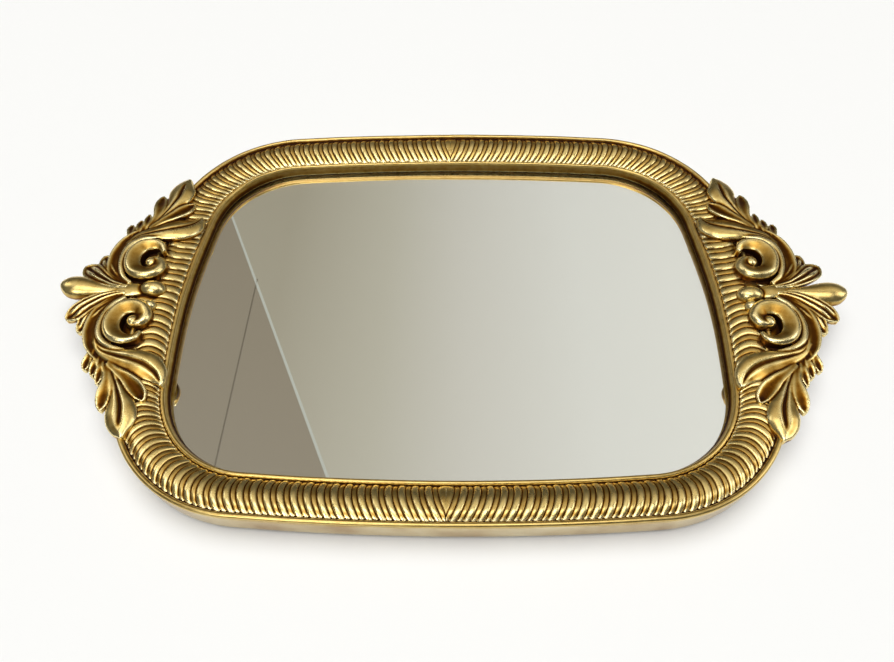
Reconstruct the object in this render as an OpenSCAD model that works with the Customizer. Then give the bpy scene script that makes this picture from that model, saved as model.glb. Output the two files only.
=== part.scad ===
// Oval mirrored vanity tray with a gadrooned moulding and a leaf-and-scroll casting at each end.
// Origin: on the surface the tray stands on, under its centre. +X is along the tray, +Z is up.

/* [Frame outline] */
// Radius of the four corners
corner_r = 73; // [66:0.5:76]
// How much larger the long sides' radius is than the corners'
long_bow = 1187.5; // [1093.75:31.25:1250]
// How much larger the short sides' radius is than the corners'
short_bow = 687.5; // [625:31.25:750]

/* [Moulding] */
// Width of the moulding, from the outer wall to the sight edge
rail_w = 23; // [22:0.5:24]
// Top of the outer bead above the standing surface
outer_bead_top = 17.5; // [16.5:0.1:19]
// Top of the inner bead above the standing surface
inner_bead_top = 13.3; // [12.5:0.1:14]
// How far the gadrooned band bulges above the line between its two edges
band_rise = 3; // [2:0.1:3.6]

/* [Mirror and backing] */
// Thickness of the mirror plate
glass_t = 3; // [2:0.5:3]
// Thickness of the backing board
board_t = 2; // [1.5:0.1:2]
// Thickness of the foam tape between the mirror and the board
tape_t = 0.6; // [0.4:0.1:1]
// Height of the feet
foot_h = 2; // [1:0.5:3]
// Radius of the feet
foot_r = 7; // [5:0.5:9]

/* [End castings] */
// How far each end petal reaches past the moulding
petal_reach = 45; // [43:0.5:50]
// Underside of the part that overhangs the frame
overhang_z = 8.5; // [6:0.5:10]
// Top of the leaf lobes
leaf_top = 21; // [20:0.5:22]
// Top of the scrolls, the highest point of the tray
scroll_top = 25; // [24:0.5:26]

/* [Hidden] */
$fn = 96;

gold = "goldenrod";
rail_z = foot_h;                     // underside of the moulding and of the board
board_top = rail_z + board_t;
glass_z = board_top + tape_t;
lip_z = glass_z + glass_t + 0.2;     // the lip that holds the mirror down
lip_w = 4.2;                         // how far the lip covers the mirror
board_ledge = 6;                     // ledge that the board is screwed to
board_edge = rail_w - lip_w - board_ledge;
outer_bead_r = 1.3;
inner_bead_r = 1.1;
bead_gap = 0.2;                      // between the inner bead and the band
edge_round = 2;                      // rounding of the moulding's bottom edge
wall_draft = 0.4;                    // the outer wall leans in by this at the bottom
sight_draft = 1.4;                   // the inner wall spreads by this towards the mirror
glue_gap = 0.1;                      // room for glue between a casting and the moulding
fit_gap = 0.4;                       // the mirror and the board are this much smaller all round

// Screws: countersunk, driven from below
screw_r = 1.5;
head_r = 3;
head_h = 1.6;
board_screw_len = 9;
handle_screw_len = 18;
screw_gap = 0.05;
handle_screw_in = 7.2;               // in from the moulding's outer wall
handle_screw_side = 11;              // to each side of the tray's long axis

// The oval is eight arcs, each tangent to the next, so two arcs and the point where they meet
// lie on one line. That line's slope is a whole-number right triangle, 237 by 3116 by 3125,
// which makes every centre an exact decimal.
flat = 3116 / 3125;
steep = 237 / 3125;
corner_c = [steep * long_bow, steep * short_bow];
long_c = [0, corner_c.y - flat * long_bow];
short_c = [corner_c.x - flat * short_bow, 0];
long_side_r = long_bow + corner_r;
short_side_r = short_bow + corner_r;
half_l = short_c.x + short_side_r;
half_d = long_c.y + long_side_r;
a_short = asin(steep);               // where a short side meets a corner
a_long = 90 - a_short;               // where a corner meets a long side

// Each arc of a quarter, then its mirror images: centre, radius, first and last angle, steps
ARCS = [
  [short_c, short_side_r, -a_short, a_short, 10],
  [corner_c, corner_r, a_short, a_long, 14],
  [long_c, long_side_r, a_long, 180 - a_long, 12],
  [[-corner_c.x, corner_c.y], corner_r, 180 - a_long, 180 - a_short, 14],
  [-short_c, short_side_r, 180 - a_short, 180 + a_short, 10],
  [-corner_c, corner_r, 180 + a_short, 180 + a_long, 14],
  [-long_c, long_side_r, 180 + a_long, 360 - a_long, 12],
  [[corner_c.x, -corner_c.y], corner_r, 360 - a_long, 360 - a_short, 14]
];

// Points round the oval, a distance inset inside the frame's outline
function oval_points(inset) = [
  for (arc = ARCS, i = [0 : arc[4] - 1])
    let (angle = arc[2] + (arc[3] - arc[2]) * i / arc[4])
      arc[0] + (arc[1] - inset) * [cos(angle), sin(angle)]
];

// One arc of the oval: a full ring of the profile, cut along the lines where the arcs meet
module ring_sector(centre, r, sector) {
  intersection() {
    translate(centre)
      rotate_extrude($fn = r > 100 ? 480 : 120)
        translate([r, 0])
          children();
    translate([0, 0, -10])
      linear_extrude(50)
        polygon(sector);
  }
}

// The lines where the arcs meet run from a corner's centre outwards
inner_reach = 25;
outer_reach = 100;
to_short = [flat, steep];
to_long = [steep, flat];

module side_arcs() {
  for (y = [-1, 1])
    ring_sector([corner_c.x, y * corner_c.y], corner_r, [
      [corner_c.x, y * corner_c.y],
      [corner_c.x + outer_reach * to_short.x, y * (corner_c.y + outer_reach * to_short.y)],
      [corner_c.x + outer_reach, y * (corner_c.y + outer_reach)],
      [corner_c.x + outer_reach * to_long.x, y * (corner_c.y + outer_reach * to_long.y)]
    ])
      children();
  ring_sector(short_c, short_side_r, [
    for (y = [-1, 1], reach = y < 0 ? [inner_reach, outer_reach] : [outer_reach, inner_reach])
      [corner_c.x + reach * to_short.x, y * (corner_c.y + reach * to_short.y)]
  ])
    children();
}

// Sweeps a profile round the oval. x = 0 in the profile is the outline and -x is inwards.
module sweep_oval() {
  for (x = [0, 1])
    mirror([x, 0, 0])
      side_arcs()
        children();
  for (y = [-1, 1])
    ring_sector([0, y * long_c.y], long_side_r, [
      for (x = [-1, 1], reach = x < 0 ? [inner_reach, outer_reach] : [outer_reach, inner_reach])
        [x * (corner_c.x + reach * to_long.x), y * (corner_c.y + reach * to_long.y)]
    ])
      children();
}

// A flat plate with the oval's outline, a distance inset inside it
module oval_plate(inset, thickness) {
  linear_extrude(thickness)
    polygon(oval_points(inset));
}

// ---- moulding ----

// The band between the two beads is the part of a circle above their edges
band_out = [-2 * outer_bead_r, outer_bead_top - outer_bead_r];
band_in = [-(rail_w - 2 * inner_bead_r - bead_gap), inner_bead_top - inner_bead_r];
band_chord = norm(band_in - band_out);
band_r = band_chord * band_chord / (8 * band_rise) + band_rise / 2;
band_up = [band_in.y - band_out.y, band_out.x - band_in.x] / band_chord;
band_c = (band_out + band_in) / 2 + band_up * (band_rise - band_r);

module rail_profile() {
  outer_z = outer_bead_top - outer_bead_r;
  inner_z = inner_bead_top - inner_bead_r;
  polygon([
    [-(edge_round + wall_draft), rail_z],
    [-wall_draft, rail_z + edge_round],
    [0, outer_z],
    [-outer_bead_r, outer_z],
    band_out,
    band_in,
    [-(rail_w - inner_bead_r), inner_z],
    [-rail_w, inner_z],
    [-(rail_w + sight_draft), lip_z],
    [-(rail_w - lip_w), lip_z],
    [-(rail_w - lip_w), board_top],
    [-board_edge, board_top],
    [-board_edge, rail_z]
  ]);
  translate([-(edge_round + wall_draft), rail_z + edge_round])
    circle(edge_round, $fn = 32);
  translate([-outer_bead_r, outer_z])
    circle(outer_bead_r, $fn = 32);
  translate([-(rail_w - inner_bead_r), inner_z])
    circle(inner_bead_r, $fn = 32);
  intersection() {
    translate(band_c)
      circle(band_r, $fn = 96);
    translate([band_in.x, band_in.y - 2])
      square([band_out.x - band_in.x, 20]);
  }
}

// A countersunk screw, head down at z = 0. extra makes it a hole.
module screw(length, extra = 0) {
  cylinder(h = length, r = screw_r + extra, $fn = 32);
  cylinder(h = head_h, r1 = head_r + extra, r2 = screw_r + extra, $fn = 32);
}

// Eight board screws stand on the ledge, two on each side of the oval
module at_board_screws() {
  ledge_mid = board_edge + board_ledge / 2;
  for (arc = ARCS, t = arc[1] > 100 ? [0.2, 0.8] : [])
    let (angle = arc[2] + (arc[3] - arc[2]) * t)
      translate(concat(arc[0] + (arc[1] - ledge_mid) * [cos(angle), sin(angle)], rail_z))
        children();
}

// Two screws hold each end casting
module at_handle_screws() {
  for (x = [-1, 1], y = [-1, 1])
    translate([x * (half_l - handle_screw_in), y * handle_screw_side, rail_z])
      children();
}

module frame_rail() {
  color(gold)
    difference() {
      sweep_oval()
        rail_profile();
      at_board_screws()
        screw(board_screw_len + 1, screw_gap);
      at_handle_screws()
        screw(handle_screw_len + 2, screw_gap);
    }
}

// ---- mirror and backing ----

module mirror_glass() {
  color("lightsteelblue")
    translate([0, 0, glass_z])
      oval_plate(rail_w - lip_w + fit_gap, glass_t);
}

module foam_tape() {
  strip_w = 12;
  long_strip = 200;
  short_strip = 90;
  color("dimgray")
    for (side = [-1, 1]) {
      translate([-long_strip / 2, side * (half_d - 47) - strip_w / 2, board_top])
        cube([long_strip, strip_w, tape_t]);
      translate([side * (half_l - 43) - strip_w / 2, -short_strip / 2, board_top])
        cube([strip_w, short_strip, tape_t]);
    }
}

module back_board() {
  color("sienna")
    difference() {
      translate([0, 0, rail_z])
        oval_plate(board_edge + fit_gap, board_t);
      at_board_screws()
        screw(board_screw_len, screw_gap);
    }
}

module board_screws() {
  color("silver")
    at_board_screws()
      screw(board_screw_len);
}

// ---- end castings ----

// A leaf-shaped outline between two points: the overlap of two circles
module leaf(base, tip, width) {
  length = norm(tip - base);
  r = (length * length + width * width) / (4 * width);
  translate((base + tip) / 2)
    rotate(atan2(tip.y - base.y, tip.x - base.x))
      intersection() {
        translate([0, r - width / 2])
          circle(r, $fn = 128);
        translate([0, width / 2 - r])
          circle(r, $fn = 128);
      }
}

// An outline on one side of the X axis, joined to its mirror image
function both_sides(half) = concat(half, [
  for (i = [len(half) - 1 : -1 : 0]) [half[i].x, -half[i].y]
]);

// The lobes of one half: base, tip, width, top. x is measured from the moulding's end.
LOBES = [
  [[5, 36], [-21, 53], 14, leaf_top + 1],
  [[7, 44], [-19, 64], 9, leaf_top],
  [[6, 40], [-9, 86], 15, leaf_top + 0.5],
  [[10, 44], [3, 73], 9, leaf_top - 0.5],
  [[12, 41], [8, 59], 6, leaf_top - 1],
  [[15, 39], [13, 54], 5, leaf_top - 1.2],
  [[18, 30], [18, 50], 5, leaf_top - 1.4],
  [[8, 4], [29, 26], 9, leaf_top - 0.8],
  [[6, 2], [38, 17], 9, leaf_top - 0.4]
];
bed_half = [[-9, 30], [-5, 46], [1, 58], [11, 50], [19, 40], [23, 27], [19, 18], [27, 8]];
scroll_c = [2.5, 20.5];
scroll_r = 12.4;
roll_r = 3.4;
egg_r = 5.5;

module half_casting() {
  for (lobe = LOBES)
    translate([0, 0, overhang_z])
      linear_extrude(lobe[3] - overhang_z)
        leaf(lobe[0], lobe[1], lobe[2]);
  // The scroll: a rolled rim round a bowl with a bead in the middle
  translate(scroll_c) {
    translate([0, 0, overhang_z])
      cylinder(h = leaf_top - 0.5 - overhang_z, r = scroll_r - roll_r / 2);
    translate([0, 0, scroll_top - roll_r])
      rotate_extrude()
        translate([scroll_r - roll_r, 0])
          circle(roll_r, $fn = 32);
    translate([0, 0, leaf_top])
      sphere(2.5, $fn = 32);
  }
}

module end_casting() {
  color(gold)
    difference() {
      union() {
        half_casting();
        mirror([0, 1, 0])
          half_casting();
        // The bed that joins the lobes
        translate([0, 0, overhang_z])
          linear_extrude(leaf_top - 2 - overhang_z)
            polygon(both_sides(bed_half));
        // The end petal, and the egg between the scrolls
        translate([0, 0, overhang_z])
          linear_extrude(leaf_top + 1.4 - overhang_z)
            leaf([5, 0], [petal_reach, 0], 12);
        translate([-3, 0, leaf_top - 2])
          sphere(egg_r, $fn = 48);
      }
      translate([-half_l, 0, 0]) {
        side_arcs()
          offset_profile();
        at_handle_screws()
          screw(handle_screw_len + 0.5, screw_gap);
      }
    }
}

// The moulding's upper side, with room for glue, to sit the castings on
module offset_profile() {
  translate([glue_gap, glue_gap])
    rail_profile();
}

module left_handle() {
  mirror([1, 0, 0])
    translate([half_l, 0, 0])
      end_casting();
}

module right_handle() {
  translate([half_l, 0, 0])
    end_casting();
}

module handle_screws() {
  color("silver")
    at_handle_screws()
      screw(handle_screw_len);
}

// ---- feet ----

module foot(x_side, y_side) {
  color("dimgray")
    translate([x_side * (half_l - 60), y_side * (half_d - 45), 0]) {
      cylinder(h = foot_h / 2, r1 = foot_r - 0.6, r2 = foot_r);
      translate([0, 0, foot_h / 2])
        cylinder(h = foot_h / 2, r = foot_r);
    }
}

module front_left_foot() { foot(-1, -1); }
module front_right_foot() { foot(1, -1); }
module back_left_foot() { foot(-1, 1); }
module back_right_foot() { foot(1, 1); }

frame_rail();
mirror_glass();
foam_tape();
back_board();
board_screws();
left_handle();
right_handle();
handle_screws();
front_left_foot();
front_right_foot();
back_left_foot();
back_right_foot();
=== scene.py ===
"""Gadrooned mirror tray: the looks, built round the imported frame. The tray's own lengths are in
millimetres until a mesh is made of them. The stage, the lights and the frame are in metres."""
from math import asin, cos, pi, radians, sin

import bpy
import numpy as np
from mathutils import Matrix, Vector


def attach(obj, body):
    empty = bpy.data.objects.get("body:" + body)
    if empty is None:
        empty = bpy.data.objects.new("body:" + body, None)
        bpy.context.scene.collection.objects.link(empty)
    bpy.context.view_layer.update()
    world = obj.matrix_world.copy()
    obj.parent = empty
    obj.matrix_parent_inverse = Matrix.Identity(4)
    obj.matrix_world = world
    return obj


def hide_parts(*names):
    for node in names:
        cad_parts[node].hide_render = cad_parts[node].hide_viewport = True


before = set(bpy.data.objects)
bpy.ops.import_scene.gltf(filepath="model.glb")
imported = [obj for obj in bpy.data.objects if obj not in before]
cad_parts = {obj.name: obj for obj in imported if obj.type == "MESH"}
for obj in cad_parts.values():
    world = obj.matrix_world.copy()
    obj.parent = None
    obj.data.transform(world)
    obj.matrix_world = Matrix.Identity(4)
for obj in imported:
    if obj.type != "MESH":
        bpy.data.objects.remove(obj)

MM = 0.001
scene = bpy.context.scene
scene.view_settings.view_transform = "Standard"
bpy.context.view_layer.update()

# ---- driving sizes, the same as the frame's ----
CORNER_R = 73.0            # radius of the oval's corners
LONG_BOW = 1187.5          # how much larger the long sides' radius is
SHORT_BOW = 687.5          # how much larger the short sides' radius is
STEEP, FLAT = 237 / 3125, 3116 / 3125      # rise and run of a line through two arcs' centres
RAIL_W = 23.0              # width of the moulding
OUTER_TOP = 17.5           # top of the outer bead
INNER_TOP = 13.3           # top of the inner bead, at the sight edge
BEAD_R = 1.3               # radius of the outer bead
SIGHT_BEAD_R = 1.1         # radius of the inner bead
BAND_RISE = 3.0            # how far the band bulges over the line between its edges
EDGE_ROUND = 2.0           # rounding of the moulding's bottom edge
WALL_DRAFT = 0.4           # the outer wall leans in by this at the bottom
SIGHT_DRAFT = 1.4          # the inner wall spreads by this towards the mirror
FOOT_H = 2.0               # height of the feet, and so the moulding's underside
BOARD_T = 2.0              # thickness of the backing board
BOARD_EDGE = 12.8          # inset of the hole that the board lies in
GLASS_Z = 4.6              # underside of the mirror
GLASS_T = 3.0
LIP_Z = 7.8                # underside of the lip that holds the mirror down
LIP_W = 4.2                # how far the lip covers the mirror
FIT_GAP = 0.4              # the mirror is this much smaller all round than its hole
LEAF_REACH = 86.0          # how far the leaves reach from the tray's long axis

# ---- the oval: eight tangent arcs, described by one quarter ----
CORNER_C = np.array([STEEP * LONG_BOW, STEEP * SHORT_BOW])
LONG_C = np.array([0.0, CORNER_C[1] - FLAT * LONG_BOW])
SHORT_C = np.array([CORNER_C[0] - FLAT * SHORT_BOW, 0.0])
LONG_R = LONG_BOW + CORNER_R
SHORT_R = SHORT_BOW + CORNER_R
A_SHORT = asin(STEEP)      # half the angle that each long or short side spans

MID = RAIL_W / 2 - 0.2     # inset of the line that distances along the oval are measured on
ARC_LENGTHS = ((LONG_R - MID) * A_SHORT,
               (CORNER_R - MID) * (pi / 2 - 2 * A_SHORT),
               (SHORT_R - MID) * A_SHORT)
QUARTER = sum(ARC_LENGTHS)
SIDE_BOW = 2.0             # how much narrower the moulding is at the middle of the short sides
SIDE_BOW_SPAN = 75.0       # how far to each side of that middle it is narrower


def smoothstep(low, high, x):
    """From 0 at low to 1 at high, with soft ends."""
    t = np.clip((x - low) / (high - low), 0, 1)
    return t * t * (3 - 2 * t)


def along_oval(s, inset):
    """The point at a distance s from the middle of the long side towards the middle of the short
    side, in the quarter with x and y above 0, at an inset from the outer outline. Arrays go in."""
    s, inset = np.broadcast_arrays(np.asarray(s, float), np.asarray(inset, float))
    # The bow is shared out over the moulding's width, so its outer wall stays where it is
    bow = SIDE_BOW * (1 - smoothstep(0, SIDE_BOW_SPAN, QUARTER - s))
    inset = inset - bow * smoothstep(4, RAIL_W - 1, inset)
    first, second = ARC_LENGTHS[0], ARC_LENGTHS[0] + ARC_LENGTHS[1]
    on_long, on_short = s < first, s > second
    radius = np.where(on_long, LONG_R, np.where(on_short, SHORT_R, CORNER_R))
    angle = np.where(
        on_long, pi / 2 - s / (LONG_R - MID),
        np.where(on_short, (QUARTER - s) / (SHORT_R - MID),
                 pi / 2 - A_SHORT - (s - first) / (CORNER_R - MID)))
    centre_x = np.where(on_long, LONG_C[0], np.where(on_short, SHORT_C[0], CORNER_C[0]))
    centre_y = np.where(on_long, LONG_C[1], np.where(on_short, SHORT_C[1], CORNER_C[1]))
    reach = radius - inset
    return centre_x + reach * np.cos(angle), centre_y + reach * np.sin(angle)


def round_oval(turn, inset):
    """The same all the way round: turn runs from 0 at the middle of the long side, over 1 at
    the middle of the short side at +X, to 4."""
    quarter = np.floor(turn).astype(int) % 4
    part = turn - np.floor(turn)
    odd = quarter % 2 == 1
    x, y = along_oval(np.where(odd, 1 - part, part) * QUARTER, inset)
    y = np.where((quarter == 1) | (quarter == 2), -y, y)
    x = np.where(quarter >= 2, -x, x)
    return x, y


# ---- mesh helpers ----

def new_object(name, points, faces, material, stands_for, smooth=True):
    """A piece from points in millimetres. It rides on the tray's one body, and the frame's node
    that it stands for isn't shown."""
    mesh = bpy.data.meshes.new(name)
    mesh.from_pydata((np.asarray(points, float) * MM).tolist(), [], faces)
    mesh.update()
    obj = bpy.data.objects.new(name, mesh)
    scene.collection.objects.link(obj)
    mesh.materials.append(material)
    mesh.polygons.foreach_set("use_smooth", [smooth] * len(mesh.polygons))
    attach(obj, "root")
    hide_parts(stands_for)
    return obj


def grid_faces(rows, columns, wrap_rows=False, wrap_columns=False, flip=False):
    """Quads over a grid of rows x columns points, stored row by row."""
    r = np.arange(rows if wrap_rows else rows - 1)
    c = np.arange(columns if wrap_columns else columns - 1)
    r, c = np.meshgrid(r, c, indexing="ij")
    r2, c2 = (r + 1) % rows, (c + 1) % columns
    quads = np.stack([r * columns + c, r * columns + c2, r2 * columns + c2, r2 * columns + c], -1)
    quads = quads.reshape(-1, 4)
    return quads[:, ::-1] if flip else quads


# ---- moulding ----

def arc(centre, radius, start, end, steps):
    """Points of an arc in a profile, with angles in degrees: 0 points outwards and 90 up."""
    return [(centre[0] - radius * cos(radians(a)), centre[1] + radius * sin(radians(a)))
            for a in np.linspace(start, end, steps)]


def swept_ring(name, profile, steps, material, wobble=0.0):
    """A closed profile of (inset, height) points, swept round the oval."""
    profile = np.array(profile)
    turn = np.arange(4 * steps) / steps
    x, y = round_oval(turn[:, None], profile[None, :, 0])
    z = np.broadcast_to(profile[None, :, 1], x.shape).copy()
    if wobble:
        # A casting pulled from a hand-made mould is never quite even
        bend = np.sin(turn * 9.1 + 0.4) + 0.6 * np.sin(turn * 23.7 + 1.1) + 0.4 * np.sin(turn * 51.3)
        z += wobble * bend[:, None] * smoothstep(10.0, 13.0, z)
    points = np.stack([x, y, z], -1).reshape(-1, 3)
    faces = grid_faces(len(turn), len(profile), True, True).tolist()
    return new_object(name, points, faces, material, "frame_rail")


BEAD_Z = OUTER_TOP - BEAD_R                # heights of the beads' middles
SIGHT_BEAD_Z = INNER_TOP - SIGHT_BEAD_R
BAND_LOW = 0.1                             # the band's edges lie this far below those middles
BAND_OUT = np.array([2.5, BEAD_Z - BAND_LOW])
BAND_IN = np.array([RAIL_W - 2.0, SIGHT_BEAD_Z - BAND_LOW])
BAND_CHORD = float(np.linalg.norm(BAND_IN - BAND_OUT))
BAND_R = BAND_CHORD ** 2 / (8 * BAND_RISE) + BAND_RISE / 2


def band_point(v, sink):
    """A point across the band, v from 0 at the sight edge to 1 at the outer edge, a depth sink
    under its round surface."""
    half = asin(BAND_CHORD / 2 / BAND_R)
    angle = (2 * v - 1) * half
    across = (BAND_OUT - BAND_IN) / BAND_CHORD
    up = np.array([across[1], -across[0]])
    centre = (BAND_OUT + BAND_IN) / 2 - up * (BAND_R - BAND_RISE)
    reach = BAND_R - sink
    inset = centre[0] + reach * (np.sin(angle) * across[0] + np.cos(angle) * up[0])
    height = centre[1] + reach * (np.sin(angle) * across[1] + np.cos(angle) * up[1])
    return inset, height


RIBS = 74                  # ribs on a quarter
TONGUE = 3.8               # half width of the tongue at the middle of each long side
RIB_GROWTH = 0.30          # the ribs beside the castings are this much wider than the others
GROW_FROM, GROW_TO = 54, 62                # the ribs over which the width grows
rib_sizes = 1 + RIB_GROWTH * smoothstep(GROW_FROM, GROW_TO, np.arange(RIBS))
rib_starts = np.concatenate([[0], np.cumsum(rib_sizes)]) * (QUARTER - TONGUE) / rib_sizes.sum()
RIB_STEPS = 10             # points along the oval on each rib
TONGUE_STEPS = 14
ACROSS = 36                # points across the band
GROOVE = 0.95              # depth of the grooves between ribs
LOW_RIB = 0.42             # how much lower every other rib lies
WIDE_SHARE = 0.58          # share of a pair of ribs that the high one takes
RIB_LEAN = 5.4             # how far a rib's end swings back towards the tongue
BAND_SHOULDER = 0.55       # how far the band dips beside the outer bead
BAND_BED = 1.5             # thickness of the band's skin at its edges


def rib_swing(v, t, near):
    """How far a rib leans back at v across the band, for t from 0 at the tongue to 1 at the middle
    of the short side. By the tongue almost the whole rib leans one way, and at t = 1 it is an arc."""
    apex = 0.5 - 0.36 * (1 - t) ** 1.5
    if not near:
        apex = 1 - apex
    span = np.maximum(apex, 1 - apex)
    size = RIB_LEAN * (1 - 0.3 * t) * (1 - t ** 12)
    return size * np.abs((v - apex) / span) ** 1.8


def rib_stations():
    """Distances along a quarter, each with its place across its rib, from -1 to 1, and whether that
    rib is a low one."""
    count = np.arange(RIBS * RIB_STEPS + 1) / RIB_STEPS
    number = np.minimum(np.floor(count), RIBS - 1)
    high = number % 2 == 1
    part = count - number
    # Ribs come in pairs, a low narrow one and then a high wide one
    begin = number - number % 2 + np.where(high, 2 * (1 - WIDE_SHARE), 0)
    size = 2 * np.where(high, WIDE_SHARE, 1 - WIDE_SHARE)
    place = TONGUE + np.interp(begin + part * size, np.arange(RIBS + 1), rib_starts)
    return place, 2 * part - 1, ~high


def gadroon_quarter(near):
    """Points of one quarter of the band in rows across it, in the x, y > 0 quarter, and how much
    patina and painted shade is laid on the paint at each, beyond what its shape alone gives."""
    place, across_rib, low = rib_stations()
    flat_start = np.zeros(TONGUE_STEPS)
    share = np.arange(TONGUE_STEPS) / TONGUE_STEPS
    base = np.concatenate([flat_start, place])
    across_rib = np.concatenate([share, across_rib])[:, None]
    low = np.concatenate([flat_start, low])[:, None]
    v = np.linspace(0, 1, ACROSS)[None, :]
    t = np.clip(base / QUARTER, 0, 1)[:, None]
    s = base[:, None] - rib_swing(v, t, near)
    s[:TONGUE_STEPS] = share[:, None] * (TONGUE - rib_swing(v, np.zeros((1, 1)), near))
    s = np.clip(s, 0, QUARTER)
    bar = np.sqrt(np.clip(1 - np.abs(across_rib) ** 2.4, 0, 1))
    sink = GROOVE * (1 - bar) + low * LOW_RIB * bar
    # The ribs' ends are round, so the band's inner edge is scalloped
    wave = 0.05 * across_rib ** 2
    ends = 1 - smoothstep(wave, 0.045 + wave, v)
    sink = np.maximum(sink, 0.5 * GROOVE * ends)
    sink = sink + BAND_SHOULDER * smoothstep(0.74, 1, v)
    inset, height = band_point(v, sink)
    x, y = along_oval(s, inset)
    # Painted shade and patina in the recess by the outer bead, painted shade in the scalloped inner
    # ends, and the low ribs a little darker
    shade_and_patina = 0.30 * smoothstep(0.76, 1, v) + 0.04 * (1 - smoothstep(0, 0.14, v)) + 0.07 * low
    return np.stack([x, y, height, shade_and_patina + 0 * x], -1)


def gadroon_half(name, side, material):
    """The band on one side of the tray, from the near tongue to the far one, closed below."""
    near = gadroon_quarter(True) * [side, -1, 1, 1]
    far = gadroon_quarter(False) * [side, 1, 1, 1]
    top = np.concatenate([near, far[-2::-1]])
    bed = top[:, [-1, 0]].copy()
    bed[:, :, 2] -= BAND_BED
    ring = np.concatenate([top, bed], 1)
    rows, columns = ring.shape[:2]
    faces = grid_faces(rows, columns, False, True, flip=side < 0).tolist()
    first = list(range(columns))
    last = [(rows - 1) * columns + i for i in range(columns)]
    faces += [first, last[::-1]] if side < 0 else [first[::-1], last]
    obj = new_object(name, ring[:, :, :3].reshape(-1, 3), faces, material,
                     "frame_rail")
    mark_wear_and_shade(obj, 0.5, (3, 12, 30), ring[:, :, 3].ravel())


def mark_wear_and_shade(obj, strength, rounds, shade_and_patina=0.0, upright_shade=0.0):
    """Stores how far each point stands out of, or lies below, its smoothed surroundings, as the
    attribute wear_and_shade: 0.5 on open surfaces, less in recesses and more on ridges. Low values
    paint the brown of patina and painted shade into the recesses, and high values are ridges rubbed
    bright. It is compared with the surroundings after each number of smoothing rounds, so that small
    and large forms both count. shade_and_patina is taken off it, and upright_shade is how much less it
    is on upright and overhanging faces, as painted shade there."""
    mesh = obj.data
    count = len(mesh.vertices)
    co = np.empty(count * 3)
    mesh.vertices.foreach_get("co", co)
    co = co.reshape(-1, 3) / MM
    normal = np.empty(count * 3)
    mesh.vertices.foreach_get("normal", normal)
    normal = normal.reshape(-1, 3)
    edges = np.empty(len(mesh.edges) * 2, int)
    mesh.edges.foreach_get("vertices", edges)
    a, b = edges.reshape(-1, 2).T
    degree = np.bincount(a, minlength=count) + np.bincount(b, minlength=count)
    smooth = co.copy()
    total = np.zeros(count)
    done = 0
    for stop in rounds:
        while done < stop:
            summed = [np.bincount(a, smooth[b, i], count) + np.bincount(b, smooth[a, i], count)
                      for i in range(3)]
            smooth = 0.5 * smooth + 0.5 * np.stack(summed, 1) / degree[:, None]
            done += 1
        total += ((co - smooth) * normal).sum(1)
    # Painted shade on upright and overhanging faces
    upright = 1 - smoothstep(0.10, 0.62, normal[:, 2])
    wear_and_shade = np.clip(0.5 + total * strength - shade_and_patina - upright_shade * upright, 0, 1)
    layer = mesh.attributes.new("wear_and_shade", "FLOAT", "POINT")
    layer.data.foreach_set("value", wear_and_shade)


# ---- materials ----

class Nodes:
    """A small helper to build a material's node tree."""

    def __init__(self, name):
        self.material = bpy.data.materials.new(name)
        self.material.use_nodes = True
        self.tree = self.material.node_tree
        self.shader = self.tree.nodes["Principled BSDF"]
        self.output = self.tree.nodes["Material Output"]

    def add(self, kind, inputs=(), **settings):
        node = self.tree.nodes.new("ShaderNode" + kind)
        for key, value in settings.items():
            setattr(node, key, value)
        for key, value in dict(inputs).items():
            self.put(node.inputs[key], value)
        return node

    def put(self, socket, value):
        if isinstance(value, bpy.types.NodeSocket):
            self.tree.links.new(value, socket)
        else:
            socket.default_value = value

    def set(self, **inputs):
        for key, value in inputs.items():
            self.put(self.shader.inputs[key.replace("_", " ")], value)

    def position(self):
        return self.add("TexCoord").outputs["Object"]

    def along(self, axis):
        return self.add("SeparateXYZ", {"Vector": self.position()}).outputs[axis]

    def noise(self, scale, detail=3.0, rough=0.5):
        inputs = {"Scale": scale, "Detail": detail, "Roughness": rough, "Vector": self.position()}
        return self.add("TexNoise", inputs).outputs["Fac"]

    def ramp(self, value, *stops):
        """Colours or greys by value, from stops of a place and a colour or grey."""
        node = self.add("ValToRGB", {"Fac": value})
        ramp = node.color_ramp
        while len(ramp.elements) < len(stops):
            ramp.elements.new(0.5)
        for element, (place, colour) in zip(ramp.elements, stops):
            element.position = place
            grey = not hasattr(colour, "__len__")
            element.color = (colour,) * 3 + (1,) if grey else tuple(colour) + (1,)
        return node.outputs["Color"]

    def math(self, operation, a, b, clamp=False):
        node = self.add("Math", operation=operation, use_clamp=clamp)
        self.put(node.inputs[0], a)
        self.put(node.inputs[1], b)
        return node.outputs[0]

    def around_half(self, value, amount):
        """A noise value as an offset of up to half the amount either way."""
        return self.math("MULTIPLY", self.math("SUBTRACT", value, 0.5), amount)

    def bump(self, height, strength, distance, normal=None):
        inputs = {"Height": height, "Strength": strength, "Distance": distance}
        if normal:
            inputs["Normal"] = normal
        return self.add("Bump", inputs).outputs["Normal"]


def srgb(*values):
    """A colour given as 0 to 255 on the screen, as the shader's linear values."""
    return tuple((v / 255 / 12.92) if v <= 10 else ((v / 255 + 0.055) / 1.055) ** 2.4 for v in values)


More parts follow.
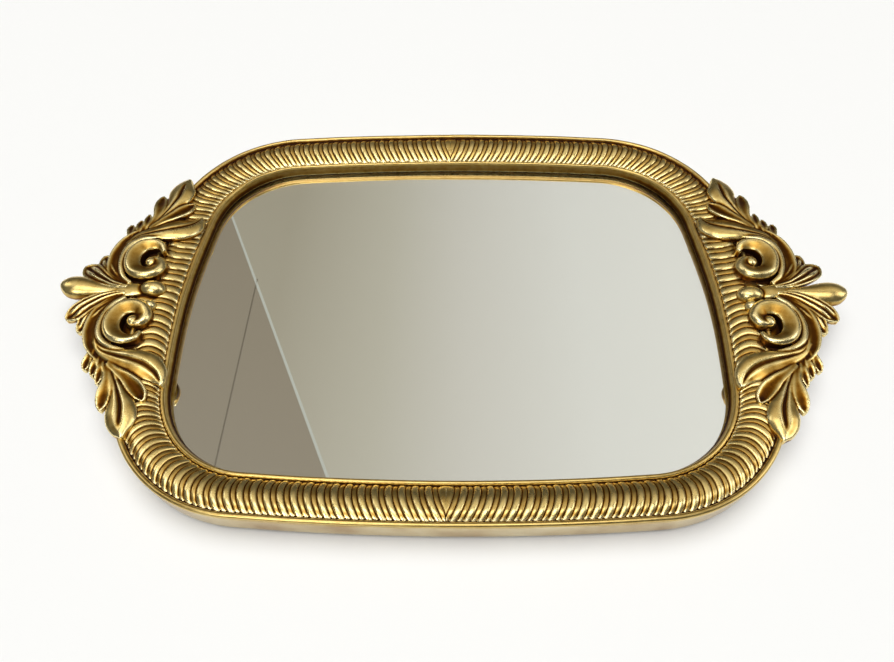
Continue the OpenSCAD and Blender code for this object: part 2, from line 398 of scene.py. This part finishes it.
def antique_gold(name, rub=0.0):
    """Gold paint over dark brown. The brown shows in the recesses, as patina and painted shade, and
    the ridges are rubbed bright. rub is how much more this piece is rubbed than the castings."""
    n = Nodes(name)
    wear_and_shade = n.add("Attribute", attribute_name="wear_and_shade").outputs["Fac"]
    patches = n.noise(260, 4, 0.6)
    specks = n.noise(1900, 2, 0.7)
    wear_and_shade = n.math("ADD", wear_and_shade, n.around_half(patches, 0.16))
    wear_and_shade = n.math("ADD", wear_and_shade, n.around_half(specks, 0.10))
    wear_and_shade = n.math("ADD", wear_and_shade, rub)
    # Low values give the brown of patina and of painted shade in recesses, high ones the rubbed ridges
    colour = n.ramp(wear_and_shade,
                    (0.16, srgb(42, 17, 1)),
                    (0.34, srgb(86, 48, 5)),
                    (0.43, srgb(134, 89, 22)),
                    (0.51, srgb(184, 146, 70)),
                    (0.66, srgb(228, 203, 132)),
                    (0.90, srgb(250, 234, 178)))
    metal = n.ramp(wear_and_shade, (0.12, 0.55), (0.36, 0.95), (0.5, 1.0))
    rough = n.ramp(wear_and_shade, (0.15, 0.60), (0.40, 0.40), (0.60, 0.30), (0.9, 0.26))
    rough = n.math("ADD", rough, n.around_half(patches, 0.22), clamp=True)
    n.set(Base_Color=colour, Metallic=metal, Roughness=rough, Specular_IOR_Level=0.15)
    grain = n.bump(n.noise(700, 3, 0.6), 0.08, 0.0005)
    n.set(Normal=n.bump(specks, 0.06, 0.0002, grain))
    return n.material


def champagne():
    """The smooth outer wall: pale, softly clouded gold."""
    n = Nodes("champagne_wall")
    cloud = n.noise(38, 3, 0.55)
    fine = n.noise(900, 2, 0.6)
    colour = n.ramp(cloud,
                    (0.30, srgb(176, 146, 98)),
                    (0.50, srgb(206, 186, 142)),
                    (0.72, srgb(224, 212, 178)))
    n.set(Base_Color=colour, Metallic=1.0)
    rough = n.math("ADD", n.math("MULTIPLY", cloud, 0.16), 0.12)
    n.set(Roughness=rough, Normal=n.bump(fine, 0.06, 0.0002))
    return n.material


gold = antique_gold("antique_gold")
gold_band = antique_gold("antique_gold_band", 0.035)
gold_beads = antique_gold("antique_gold_beads", 0.06)
wall_gold = champagne()

WALL_TOP = BEAD_Z - 1.6    # a narrow groove under the outer bead
ROUND_TOP = FOOT_H + EDGE_ROUND
wall_profile = (
    [(BOARD_EDGE, FOOT_H), (6.0, FOOT_H)]
    + arc((EDGE_ROUND + WALL_DRAFT, ROUND_TOP), EDGE_ROUND, -90, 0, 7)
    + [(WALL_DRAFT, ROUND_TOP + (WALL_TOP - 0.3 - ROUND_TOP) * k) for k in np.linspace(0.1, 1, 6)]
    + [(WALL_DRAFT + 0.35, WALL_TOP), (3.0, WALL_TOP), (BOARD_EDGE, SIGHT_BEAD_Z - 1.5)])
swept_ring("moulding_wall", wall_profile, 110, wall_gold)

SIGHT_WALL_TOP = SIGHT_BEAD_Z - 0.7
BOARD_TOP = FOOT_H + BOARD_T
bead_profile = (
    [(2.6, BEAD_Z - 2.2), (1.1, BEAD_Z - 1.7), (0.8, BEAD_Z - 1.3)]
    + arc((BEAD_R, BEAD_Z), BEAD_R, -50, 172, 16)
    + [(BAND_OUT[0] + 0.5, BEAD_Z - 0.8), (BAND_OUT[0] + 2, BEAD_Z - 1.2)]
    + [(BAND_IN[0] - 2, SIGHT_BEAD_Z - 1.2), (BAND_IN[0] - 0.3, SIGHT_BEAD_Z - 0.55)]
    + arc((RAIL_W - SIGHT_BEAD_R, SIGHT_BEAD_Z), SIGHT_BEAD_R, 10, 172, 12)
    + [(RAIL_W - 0.15, SIGHT_BEAD_Z - 0.5)]
    + [(RAIL_W - 0.1 + SIGHT_DRAFT * k, SIGHT_WALL_TOP - (SIGHT_WALL_TOP - 0.4 - LIP_Z) * k)
       for k in np.linspace(0, 1, 8)]
    + [(RAIL_W + SIGHT_DRAFT, LIP_Z + 0.15), (RAIL_W + SIGHT_DRAFT - 0.2, LIP_Z)]
    + [(RAIL_W - LIP_W, LIP_Z), (RAIL_W - LIP_W, BOARD_TOP)]
    + [(BOARD_EDGE, BOARD_TOP), (8.0, BOARD_TOP + 1)])
beads = swept_ring("moulding_beads", bead_profile, 220, gold_beads, wobble=0.08)
bead_points = np.array([v.co[:] for v in beads.data.vertices]) / MM
# Painted shade at the bottom of the inner wall, just over the lip, more at the short sides
above_lip = bead_points[:, 2] - LIP_Z
lip_shade = smoothstep(-0.2, 0.0, above_lip) * (1 - smoothstep(0.8, 3.0, above_lip))
side_shade = smoothstep(100, 132, np.abs(bead_points[:, 0]))
mark_wear_and_shade(beads, 0.5, (2, 5), lip_shade * (0.08 + 0.26 * side_shade))

gadroon_half("gadroon_left", -1, gold_band)
gadroon_half("gadroon_right", 1, gold_band)

# ---- handles: acanthus castings, one at each end ----
# Every lobe is a row of stations along its middle line: x, y, width, top and underside heights.
# They are given for the handle at +X, on the side of it towards +Y.

def through(rows, steps):
    """A smooth curve through rows of values, as a number of rows evenly spread over its spans."""
    rows = np.array(rows, float)
    ends = np.concatenate([[2 * rows[0] - rows[1]], rows, [2 * rows[-1] - rows[-2]]])
    spans = len(rows) - 1
    at = np.linspace(0, spans, steps)
    i = np.minimum(at.astype(int), spans - 1)
    f = (at - i)[:, None]
    a, b, c, d = ends[i], ends[i + 1], ends[i + 2], ends[i + 3]
    curve = 0.5 * (2 * b + (c - a) * f + (2 * a - 5 * b + 4 * c - d) * f ** 2
                   + (3 * b - a - 3 * c + d) * f ** 3)
    return curve


SECTION = 25               # points over the top of a lobe's section
MIN_WIDTH = 0.3            # least width of a lobe
MIN_SIDE = 0.6             # least height of a lobe's side


def lobe(rows, section, steps=44):
    """A closed body along a row of stations. section says how far its top lies below the station's
    height at u across it, from -1 on the right to 1 on the left, and t along it, from 0 to 1."""
    curve = through(rows, steps)
    ahead = np.gradient(curve[:, :2], axis=0)
    ahead /= np.linalg.norm(ahead, axis=1)[:, None] + 1e-9
    left = np.stack([-ahead[:, 1], ahead[:, 0]], 1)
    width, top, base = (curve[:, k][:, None] for k in (2, 3, 4))
    width = np.maximum(width, MIN_WIDTH)
    u = np.linspace(-1, 1, SECTION)[None, :]
    t = np.linspace(0, 1, steps)[:, None]
    z = top - section(u, t, width)
    # Round the underside, from the left edge to the right one
    low_u = np.array([[0.97, 0.78, 0.4, -0.4, -0.78, -0.97]])
    drop = np.array([[0.35, 0.75, 1.0, 1.0, 0.75, 0.35]])
    side = np.where(low_u > 0, z[:, -1:], z[:, :1])
    low_z = side - np.maximum(side - base, MIN_SIDE) * drop
    across = np.concatenate([np.broadcast_to(u, z.shape), np.broadcast_to(low_u, low_z.shape)], 1)
    height = np.concatenate([z, low_z], 1)
    xy = curve[:, None, :2] + left[:, None, :] * (across * width / 2)[:, :, None]
    points = np.concatenate([xy, height[:, :, None]], 2)
    count = points.shape[1]
    faces = grid_faces(steps, count, False, True).tolist()
    faces += [list(range(count))[::-1], [(steps - 1) * count + k for k in range(count)]]
    return points.reshape(-1, 3), faces


def rounded(share):
    """A plain round top that drops by a share of the width at its edges."""
    return lambda u, t, width: share * width * (1 - np.sqrt(1 - 0.98 * u ** 2))


def rolled(u, t, width):
    """The scroll's band: it rolls over its outer edge and falls away into the bowl."""
    bowl = (0.50 - 0.26 * t) * ((1 - u) / 2) ** 2.0
    rim = (0.24 + 0.10 * t) * np.clip((u - 0.25) / 0.75, 0, 1) ** 2.2
    return width * (bowl + rim)


def soft_edge(u, width, edge):
    """How far a leaf's edge is rounded off, by no more than edge."""
    return np.minimum(edge, width * 0.35) * np.abs(u) ** 5


def folded(fold, until, hollow, crown, edge=1.2):
    """A leaf with a crease along its middle that fades out at until. The right half is hollow and
    the left half is full."""
    def section(u, t, width):
        size = np.clip(width / width.max() * 1.4, 0, 1)
        crease = fold * np.exp(-(u / 0.17) ** 2) * (1 - smoothstep(until, until + 0.25, t))
        right = hollow * np.sin(pi * np.clip(-u, 0, 1)) ** 1.4
        return size * (crease + right) + crown * width * u ** 2 + soft_edge(u, width, edge)
    return section


def spoon(depth, start=0.2, edge=1.0):
    """A leaf that is hollow between raised rims, ever more from start towards its tip."""
    def section(u, t, width):
        size = np.clip(width / width.max() * 1.4, 0, 1) * (0.3 + 0.7 * smoothstep(start, 0.6, t))
        return size * depth * np.clip(1 - (u / 0.8) ** 2, 0, 1) + soft_edge(u, width, edge)
    return section


def ribbed(count, depth, dish):
    """A petal with fine ribs that die out towards a hollow end."""
    def section(u, t, width):
        size = np.clip(width / width.max() * 1.4, 0, 1)
        ribs = depth * (0.5 - 0.5 * np.cos(pi * count * (u + 1))) * (1 - smoothstep(0.55, 0.85, t))
        hollow = dish * np.clip(1 - (u / 0.8) ** 2, 0, 1) * smoothstep(0.45, 0.8, t)
        return size * (ribs + hollow) * (1 - u ** 6) + soft_edge(u, width, 1.2)
    return section


def egg(centre, radii, steps=20):
    """An ellipsoid."""
    up = np.linspace(-pi / 2, pi / 2, steps)[1:-1, None]
    turn = np.arange(2 * steps)[None, :] * pi / steps
    unit = np.stack([np.cos(up) * np.cos(turn), np.cos(up) * np.sin(turn),
                     np.sin(up) * np.ones_like(turn)], -1)
    points = (unit * radii + centre).reshape(-1, 3)
    rows, columns = unit.shape[:2]
    faces = grid_faces(rows, columns, False, True).tolist()
    faces += [list(range(columns))[::-1], [(rows - 1) * columns + k for k in range(columns)]]
    return points, faces


VOLUTE = [
    (158.4, 26.4, 2.4, 21.6, 12), (160.8, 30.2, 4.8, 22.8, 12), (165.6, 31.4, 6.8, 23.8, 11),
    (170.6, 29.4, 8.0, 24.6, 10), (173.6, 24.2, 8.4, 24.9, 10), (173.6, 18.0, 8.6, 24.8, 10),
    (171.0, 12.8, 8.8, 24.4, 10), (166.2, 10.8, 8.6, 24.0, 11), (161.2, 11.8, 8.4, 23.6, 12),
    (158.6, 15.8, 8.0, 23.0, 12), (159.8, 19.2, 7.0, 22.4, 12), (162.6, 20.2, 5.6, 21.8, 12),
    (164.2, 19.4, 4.0, 21.2, 12)]
CHANNEL = [
    (171.5, 4.6, 2.0, 20.6, 12), (176.6, 9.0, 2.6, 21.4, 11), (179.4, 16.0, 3.0, 22.0, 11),
    (180.0, 24.0, 3.2, 22.2, 11), (177.8, 31.0, 3.4, 22.2, 11), (172.4, 35.6, 3.0, 21.8, 11),
    (166.5, 37.2, 2.0, 21.0, 11), (161.5, 38.2, 1.2, 20.2, 12)]
BORDER = [
    (173.0, 3.4, 2.6, 20.4, 13), (180.0, 7.6, 5.0, 20.8, 13), (183.8, 15.0, 7.2, 21.0, 13.5),
    (184.8, 24.0, 7.6, 21.2, 13.5), (183.0, 32.4, 7.0, 21.2, 13.5), (179.4, 38.8, 5.4, 20.8, 13),
    (175.0, 43.6, 3.0, 20.0, 13)]
INNER_LOBE = [
    (181.0, 32.6, 3.0, 20.6, 12), (175.6, 38.2, 6.0, 21.0, 12), (168.4, 41.0, 9.6, 21.2, 12),
    (160.4, 43.2, 13.4, 21.6, 12), (153.0, 45.8, 16.0, 20.8, 12), (147.8, 49.6, 13.0, 19.0, 12),
    (145.0, 53.8, 6.8, 17.4, 12), (144.0, 56.6, 1.4, 16.6, 12)]
SECOND_LOBE = [
    (171.4, 45.0, 2.8, 20.0, 12), (165.4, 50.0, 4.6, 20.8, 12), (159.8, 54.2, 6.8, 21.0, 12),
    (155.6, 58.4, 8.8, 20.6, 12.5), (152.6, 62.2, 8.0, 19.8, 13), (151.0, 65.0, 4.6, 19.0, 13),
    (150.4, 66.6, 1.4, 18.6, 13.4)]
TIP_LOBE = [
    (171.0, 45.6, 3.6, 20.0, 12), (167.4, 51.6, 4.2, 20.4, 12), (164.0, 58.4, 6.0, 20.8, 12),
    (161.6, 64.4, 9.6, 21.2, 12), (159.8, 69.6, 13.8, 21.4, 12.5), (159.0, 74.4, 15.4, 21.4, 13),
    (158.6, 78.8, 13.8, 20.8, 13), (157.8, 82.8, 9.4, 20.0, 13), (156.8, 85.6, 4.0, 19.4, 13),
    (156.6, 86.8, 1.2, 19.0, 13)]
OUTER_LOBES = (
    [(171.8, 47.0, 3.0, 19.8, 12), (169.2, 54.4, 5.0, 20.6, 13), (168.8, 61.0, 7.8, 20.8, 14.5),
     (169.2, 66.4, 7.6, 20.2, 14.5), (169.6, 70.2, 4.8, 19.4, 15), (169.8, 72.4, 1.4, 18.8, 15)],
    [(174.6, 43.6, 2.8, 19.6, 12), (174.0, 49.0, 4.2, 20.2, 14), (174.2, 53.6, 4.2, 19.8, 14.5),
     (174.6, 57.4, 1.2, 18.8, 15)],
    [(177.2, 40.6, 2.8, 19.8, 12), (177.6, 45.6, 4.2, 20.2, 14), (178.0, 49.4, 4.0, 19.6, 14.5),
     (178.2, 52.6, 1.2, 18.8, 15)],
    [(180.6, 37.0, 3.2, 20.2, 12), (181.6, 42.0, 4.8, 20.2, 14), (182.4, 45.8, 4.8, 19.6, 14.5),
     (182.8, 49.0, 1.6, 18.8, 15)])
PETAL_A = [
    (172.5, 1.8, 3.0, 20.8, 13), (181.0, 4.0, 5.6, 21.4, 13), (188.0, 7.8, 8.8, 21.6, 14),
    (193.2, 11.6, 10.8, 21.2, 14.5), (196.8, 14.6, 10.2, 20.2, 15), (199.2, 16.8, 6.2, 19.4, 15),
    (200.2, 18.0, 1.8, 18.8, 15)]
PETAL_B = [
    (174.0, 4.2, 2.6, 20.4, 13), (180.4, 8.8, 5.4, 20.6, 13), (185.0, 13.8, 8.4, 20.6, 14),
    (188.2, 18.4, 9.8, 20.2, 14.5), (190.2, 22.2, 8.6, 19.4, 15), (191.4, 24.8, 4.8, 18.8, 15),
    (191.8, 26.0, 1.6, 18.2, 15)]
GROUND = [
    (167.0, 4.0, 10.0, 18.0, 10.5), (170.0, 14.0, 23.0, 16.4, 10.5), (170.4, 24.0, 24.0, 16.0, 10.5),
    (170.6, 33.0, 21.0, 17.2, 10.5), (169.8, 41.0, 17.0, 18.6, 10.5), (167.4, 50.0, 11.0, 18.4, 10.5),
    (164.8, 60.0, 6.4, 18.0, 10.5), (162.0, 68.0, 4.0, 17.6, 11)]
PETAL = [
    (173.0, 0.2, 3.0, 19.8, 12), (182.0, 0.6, 4.8, 20.4, 12), (188.5, 1.2, 8.4, 21.4, 12.5),
    (193.8, 1.7, 12.0, 22.8, 13), (199.0, 2.0, 14.0, 23.8, 13.5), (203.4, 2.2, 12.8, 23.7, 14),
    (206.2, 2.3, 9.0, 23.0, 15), (207.6, 2.3, 5.2, 22.3, 16), (208.2, 2.3, 2.2, 21.6, 17)]
COLLAR = [
    (161.5, 1.2, 5.0, 18.6, 12), (167.0, 0.8, 8.4, 20.2, 12), (171.5, 0.4, 8.8, 20.6, 12),
    (177.0, 0.2, 10.0, 20.2, 12), (182.0, 0.4, 9.0, 19.2, 12)]


def leaf_bodies():
    """The half of a handle on one side of its middle petal."""
    bodies = [
        lobe(VOLUTE, rolled, steps=110), egg((163.8, 19.4, 18.4), (3.9, 3.9, 3.8)),
        lobe(CHANNEL, rounded(0.36), steps=70), lobe(BORDER, spoon(1.3, 0.0, 0.9), steps=60),
        lobe(INNER_LOBE, folded(1.2, 0.8, 0.8, 0.08)), lobe(SECOND_LOBE, spoon(1.7)),
        lobe(TIP_LOBE, folded(2.0, 0.55, 0.5, 0.11)),
        lobe(PETAL_A, ribbed(3, 1.2, 1.4)), lobe(PETAL_B, ribbed(3, 1.2, 1.4)),
        lobe(GROUND, spoon(0.0, edge=1.0))]
    return bodies + [lobe(rows, spoon(1.2, edge=0.9)) for rows in OUTER_LOBES]


def heart_bodies():
    """The middle petal, with the collar and the egg that it springs from."""
    return [lobe(PETAL, rounded(0.40)), lobe(COLLAR, rounded(0.18)),
            egg((159.4, 1.8, 17.0), (7.1, 5.3, 5.4)), egg((163.5, 0.0, 14.4), (7.0, 13.0, 3.9))]


VOXEL = 0.42               # size of the cells that bodies are fused on


def cast(name, bodies):
    """Fuses closed bodies into one skin, and returns its points in millimetres and its faces."""
    points, faces, start = [], [], 0
    for body_points, body_faces in bodies:
        points.append(body_points)
        faces += [[start + k for k in face] for face in body_faces]
        start += len(body_points)
    mesh = bpy.data.meshes.new(name)
    mesh.from_pydata(np.concatenate(points).tolist(), [], faces)
    obj = bpy.data.objects.new(name, mesh)
    scene.collection.objects.link(obj)
    remesh = obj.modifiers.new("fuse", "REMESH")
    remesh.mode = "VOXEL"
    remesh.voxel_size = VOXEL
    soften = obj.modifiers.new("soften", "SMOOTH")
    soften.factor = 0.5
    soften.iterations = 2
    ready = obj.evaluated_get(bpy.context.evaluated_depsgraph_get()).to_mesh()
    co = np.empty(len(ready.vertices) * 3)
    ready.vertices.foreach_get("co", co)
    skin = [list(p.vertices) for p in ready.polygons]
    obj.to_mesh_clear()
    bpy.data.objects.remove(obj)
    bpy.data.meshes.remove(mesh)
    return co.reshape(-1, 3), skin


CASTING_SHIFT = -1.5       # the castings sit this much off the tray's long axis
BACK_TIP_SHIFT = 2.0       # how far the back leaves' tips are moved out along the tray
FRONT_TIP_SHIFT = {"right": -2.8, "left": -5.5}
FRONT_SPREAD = 1.2         # how much farther from the long axis the front scrolls sit


def handle_piece(name, skin, mirror_x, mirror_y, tip_shift=0.0, spread=0.0):
    """One piece of a handle. The leaf tips of a hand-finished casting don't match from side to
    side, so tip_shift moves them along the tray, and spread moves the scroll across it."""
    points, faces = skin
    points = points.copy()
    out = np.clip(points[:, 1], 0, None)
    points[:, 0] += tip_shift * (out / LEAF_REACH) ** 1.4
    points[:, 1] += spread * smoothstep(2, 10, out) * (1 - smoothstep(35, 80, out))
    points *= [-1 if mirror_x else 1, -1 if mirror_y else 1, 1]
    points[:, 1] += CASTING_SHIFT
    if mirror_x != mirror_y:
        faces = [face[::-1] for face in faces]
    node = "left_handle" if mirror_x else "right_handle"
    obj = new_object(name, points, faces, gold, node)
    # Painted shade in the recesses and on upright and overhanging faces, with rubbed ridges
    mark_wear_and_shade(obj, 0.66, (4, 16, 50), upright_shade=0.26)


leaves = cast("leaves", leaf_bodies())
heart = cast("heart", heart_bodies())
# A low boss stands over the screw beside each front scroll
boss = cast("boss", [egg((158.0, 9.4, 17.4), (3.4, 3.2, 3.6))])
for mirror_x, word in ((False, "right"), (True, "left")):
    handle_piece(word + "_leaves_back", leaves, mirror_x, False, BACK_TIP_SHIFT)
    handle_piece(word + "_leaves_front", leaves, mirror_x, True, FRONT_TIP_SHIFT[word], FRONT_SPREAD)
    # The two end petals bend to opposite sides
    handle_piece(word + "_heart", heart, mirror_x, not mirror_x)
    handle_piece(word + "_boss", boss, mirror_x, True)

# ---- mirror and backing ----
glass = Nodes("mirror_glass")
glass.set(Base_Color=srgb(253, 254, 252) + (1,), Roughness=0.0, IOR=1.5)
glass.shader.inputs["Transmission Weight"].default_value = 1.0
silver = Nodes("silvering")
silver.set(Base_Color=(0.88, 0.88, 0.87, 1), Metallic=1.0, Roughness=0.012)


def oval_slab(name, low, high, material):
    """A flat plate of the mirror's outline, between two heights."""
    x, y = round_oval(np.arange(200) / 50, RAIL_W - LIP_W + FIT_GAP)
    ring = [np.stack([x, y, np.full_like(x, z)], -1) for z in (low, high)]
    count = len(x)
    faces = [list(range(count)), list(range(count, 2 * count))[::-1]]
    faces += [[(i + 1) % count, i, count + i, count + (i + 1) % count] for i in range(count)]
    new_object(name, np.concatenate(ring), faces, material, "mirror_glass", False)


SILVER_T = 0.06            # thickness of the silvering
SILVER_GAP = 0.02          # between the silvering and the clear pane
oval_slab("mirror_pane", GLASS_Z + SILVER_T + SILVER_GAP, GLASS_Z + GLASS_T, glass.material)
oval_slab("mirror_silvering", GLASS_Z, GLASS_Z + SILVER_T, silver.material)

# ---- the parts that keep the frame's own shapes ----

def coat(name, colours, scale, roughness, bump, metallic=0.0, grain=8):
    """A two-tone speckled material. Colours are dark, then light, and bump is a strength and a
    distance. grain is how much finer the specks are than the patches."""
    n = Nodes(name)
    patch = n.noise(scale, 4, 0.6)
    speck = n.noise(scale * grain, 2, 0.6)
    tone = n.math("ADD", n.math("MULTIPLY", patch, 0.65), n.math("MULTIPLY", speck, 0.35))
    n.set(Base_Color=n.ramp(tone, (0.36, colours[0]), (0.64, colours[1])), Metallic=metallic)
    n.set(Roughness=n.math("ADD", n.math("MULTIPLY", patch, 0.2), roughness - 0.1))
    n.set(Normal=n.bump(speck, *bump))
    return n


def give(material, *nodes):
    """Puts a material on pieces that keep the frame's own shape."""
    for node in nodes:
        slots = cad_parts[node].data.materials
        slots.clear()
        slots.append(material)


board_brown = coat("hardboard", (srgb(92, 62, 38), srgb(138, 100, 66)), 240, 0.72, (0.35, 0.0003))
give(board_brown.material, "back_board")
steel = coat("screw_steel", (srgb(138, 136, 130), srgb(186, 184, 178)), 500, 0.34, (0.08, 0.0001), 1.0)
give(steel.material, "board_screws", "handle_screws")
felt = coat("felt", (srgb(38, 30, 25), srgb(66, 54, 45)), 900, 0.95, (0.5, 0.0004), grain=4)
felt.shader.inputs["Sheen Weight"].default_value = 0.4
give(felt.material, "front_left_foot", "front_right_foot", "back_left_foot", "back_right_foot")
foam = coat("foam", (srgb(30, 30, 31), srgb(52, 52, 54)), 1500, 0.9, (0.5, 0.0003), grain=3)
give(foam.material, "foam_tape")

# ---- stage, light and camera ----
CAMERA_AT = (5.3, -223.6, 298.8)                              # in millimetres
CAMERA_PITCH, CAMERA_YAW, CAMERA_ROLL = 55.0, 1.70, -1.30     # in degrees, pitch is downwards
LENS = 26.98

camera = bpy.data.objects.new("camera", bpy.data.cameras.new("camera"))
camera.data.lens = LENS
camera.data.clip_start = 0.01
camera.location = [c * MM for c in CAMERA_AT]
camera.rotation_euler = (radians(90 - CAMERA_PITCH), 0, radians(CAMERA_YAW))
camera.rotation_mode = "XYZ"
scene.collection.objects.link(camera)
scene.camera = camera
bpy.context.view_layer.update()
camera.matrix_world = camera.matrix_world @ Matrix.Rotation(radians(CAMERA_ROLL), 4, "Z")

FLOOR_Z = -0.0002          # just under the feet
FLOOR_HALF = 9
DOME_R = 8.9
floor_paint = Nodes("floor")
floor_paint.set(Base_Color=(0.87, 0.87, 0.855, 1), Roughness=0.8)


def backdrop(name, points, faces, material):
    """A staged mesh from points in metres."""
    mesh = bpy.data.meshes.new(name)
    mesh.from_pydata(points, [], faces)
    mesh.materials.append(material)
    obj = bpy.data.objects.new(name, mesh)
    scene.collection.objects.link(obj)
    return obj


def sheet(name, corners, height, material):
    """A level staged sheet from its corners' x and y in metres."""
    points = [(x, y, height) for x, y in corners]
    return backdrop(name, points, [list(range(len(points)))], material)


def rectangle(low, high):
    """Corners of a rectangle from its lowest and highest x and y."""
    return [low, (high[0], low[1]), high, (low[0], high[1])]


floor_corners = rectangle((-FLOOR_HALF, -FLOOR_HALF), (FLOOR_HALF, FLOOR_HALF))
sheet("floor", floor_corners, FLOOR_Z, floor_paint.material)


def glow(name, colour=(1, 1, 1)):
    """A plain light-giving material."""
    n = Nodes(name)
    light = n.add("Emission", {"Color": tuple(colour) + (1,), "Strength": 1.0})
    n.tree.links.new(light.outputs[0], n.output.inputs["Surface"])
    n.light = light
    return n


def fading_glow(name, axis, start, length, *stops):
    """A light-giving material whose colour changes along an axis, from start over a length."""
    n = glow(name)
    place = n.math("DIVIDE", n.math("SUBTRACT", n.along(axis), start), length)
    n.put(n.light.inputs["Color"], n.ramp(place, *stops))
    return n


def reflected_only(obj):
    """Lets a card show in gloss and through glass, but not to the camera or as light."""
    obj.visible_camera = False
    obj.visible_diffuse = False
    obj.visible_shadow = False


# What the mirror shows, painted as glowing cards rather than lit by lamps: a pale wall overhead
# with painted shade towards its left, its shaded return on the left, a painted highlight line where
# they meet and a painted shadow line for a door's gap. Each lies a little under the one before it
WALL_Z, RETURN_Z, LINE_Z = 0.9, 0.89, 0.885
WALL_LOW, WALL_HIGH = (-0.68, 0.16), (0.62, 1.16)
MEET_NEAR, MEET_AWAY = (-0.189, 0.16), (-0.650, 1.16)
wall_glow_and_shade = fading_glow("far_wall", "X", -0.5, 1.0,
                         (0.10, (0.40, 0.365, 0.285)),
                         (0.34, (0.53, 0.50, 0.42)),
                         (0.52, (0.66, 0.635, 0.58)),
                         (0.78, (0.79, 0.78, 0.74)),
                         (1.0, (0.84, 0.83, 0.79)))
far_wall = sheet("card_far_wall", rectangle(WALL_LOW, WALL_HIGH), WALL_Z, wall_glow_and_shade.material)
return_corners = [WALL_LOW, MEET_NEAR, MEET_AWAY, (WALL_LOW[0], WALL_HIGH[1])]
return_shade_glow = glow("side_wall", (0.30, 0.258, 0.196))
side_wall = sheet("card_side_wall", return_corners, RETURN_Z, return_shade_glow.material)


def wall_line(name, start, end, width, colour):
    """A straight strip on the cards, from its ends' x and y."""
    half = width / 2
    corners = [(start[0] - half, start[1]), (start[0] + half, start[1]),
               (end[0] + half, end[1]), (end[0] - half, end[1])]
    return sheet(name, corners, LINE_Z, glow(name, colour).material)


corner_bead = wall_line("card_corner_bead", MEET_NEAR, MEET_AWAY, 0.006, (0.53, 0.54, 0.485))
door_gap = wall_line("card_door_gap", (-0.453, 0.16), (-0.451, 0.74), 0.0032, (0.16, 0.135, 0.10))
for card in (far_wall, side_wall, corner_bead, door_gap):
    reflected_only(card)
    card.visible_glossy = False

# The gold mirrors a broad softbox over the far side instead of those walls
box_light = fading_glow("far_softbox", "Y", 0.20, 1.0,
                        (0.0, (1.10, 1.03, 0.90)),
                        (0.5, (0.60, 0.54, 0.44)),
                        (1.0, (0.22, 0.18, 0.12)))
softbox = sheet("far_softbox", rectangle((-1.3, 0.20), (1.3, 1.5)), 1.1, box_light.material)
reflected_only(softbox)
softbox.visible_transmission = False

# A pale studio dome, seen behind the tray and in its mirror, that darkens upwards
dome_light = fading_glow("dome", "Z", 0.0, DOME_R,
                         (0.0, (0.95, 0.95, 0.935)),
                         (0.12, (0.93, 0.93, 0.915)),
                         (0.34, (0.66, 0.66, 0.64)),
                         (0.9, (0.60, 0.60, 0.58)))
dome_points, dome_faces = egg((0, 0, 0), (DOME_R, DOME_R, DOME_R), 32)
dome = backdrop("studio_dome", dome_points.tolist(), dome_faces, dome_light.material)
dome.visible_diffuse = False
dome.visible_glossy = False
dome.visible_shadow = False

world = bpy.data.worlds.new("studio")
world.use_nodes = True
background = world.node_tree.nodes["Background"]
background.inputs["Color"].default_value = (0.95, 0.93, 0.87, 1)
background.inputs["Strength"].default_value = 0.10
scene.world = world


def soft_light(name, place, size, power, colour=(1, 1, 1)):
    """A rectangular light that faces the tray and that only its gloss shows."""
    data = bpy.data.lights.new(name, "AREA")
    data.shape = "RECTANGLE"
    data.size, data.size_y = size
    data.energy = power
    data.color = colour
    light = bpy.data.objects.new(name, data)
    light.location = place
    light.rotation_euler = (-Vector(place)).to_track_quat("-Z", "Y").to_euler()
    scene.collection.objects.link(light)
    light.visible_transmission = False
    light.visible_diffuse = False


WARM = (1, 0.985, 0.95)
soft_light("overhead", (-0.05, -0.20, 1.0), (0.9, 0.5), 4.6, WARM)
soft_light("key", (-0.50, -0.95, 1.0), (0.6, 0.45), 5, WARM)
soft_light("right", (1.1, -0.1, 0.8), (0.5, 0.8), 3.2)
soft_light("left", (-1.05, 0.35, 1.0), (0.4, 0.6), 1.6)

# Even light for the floor and the paints. The gold is lit by the softboxes that it mirrors
sky = bpy.data.objects.new("sky", bpy.data.lights.new("sky", "SUN"))
sky.data.energy = 3.2
sky.data.angle = radians(70)
sky.visible_glossy = False
sky.visible_transmission = False
scene.collection.objects.link(sky)
